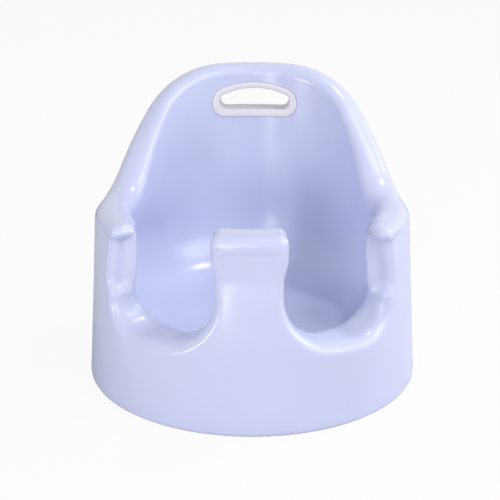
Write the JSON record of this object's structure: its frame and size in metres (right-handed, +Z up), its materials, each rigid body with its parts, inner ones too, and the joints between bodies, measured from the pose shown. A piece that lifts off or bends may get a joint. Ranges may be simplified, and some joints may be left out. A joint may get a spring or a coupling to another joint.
{
  "type": "baby floor seat",
  "caption": "Round moulded foam floor seat for a baby, with a high back, leg openings, a pommel and a rigid hand hold through the back.",
  "frame": {"origin": "on the floor, under the middle of the seat's whole width and depth", "axes": "+Z up; the child faces -Y, so the leg openings and pommel are at -Y and the back at +Y; +X is the right side as the front is looked at"},
  "size_m": [0.37, 0.375, 0.3125],
  "materials": {
    "foam_skin": "satin skin of a moulded polyurethane foam, pale lavender blue",
    "trim_plastic": "semi-gloss warm light grey injection moulding",
    "zinc_steel": "bright zinc plate",
    "foot_rubber": "matt anti-slip rubber"
  },
  "bodies": {
    "root": {"seat_body": "foam_skin", "handle_front_frame": "trim_plastic", "handle_rear_frame": "trim_plastic", "handle_screws": "zinc_steel", "foot_front_left": "foot_rubber", "foot_front_right": "foot_rubber", "foot_rear_left": "foot_rubber", "foot_rear_right": "foot_rubber"}
  },
  "joints": []
}
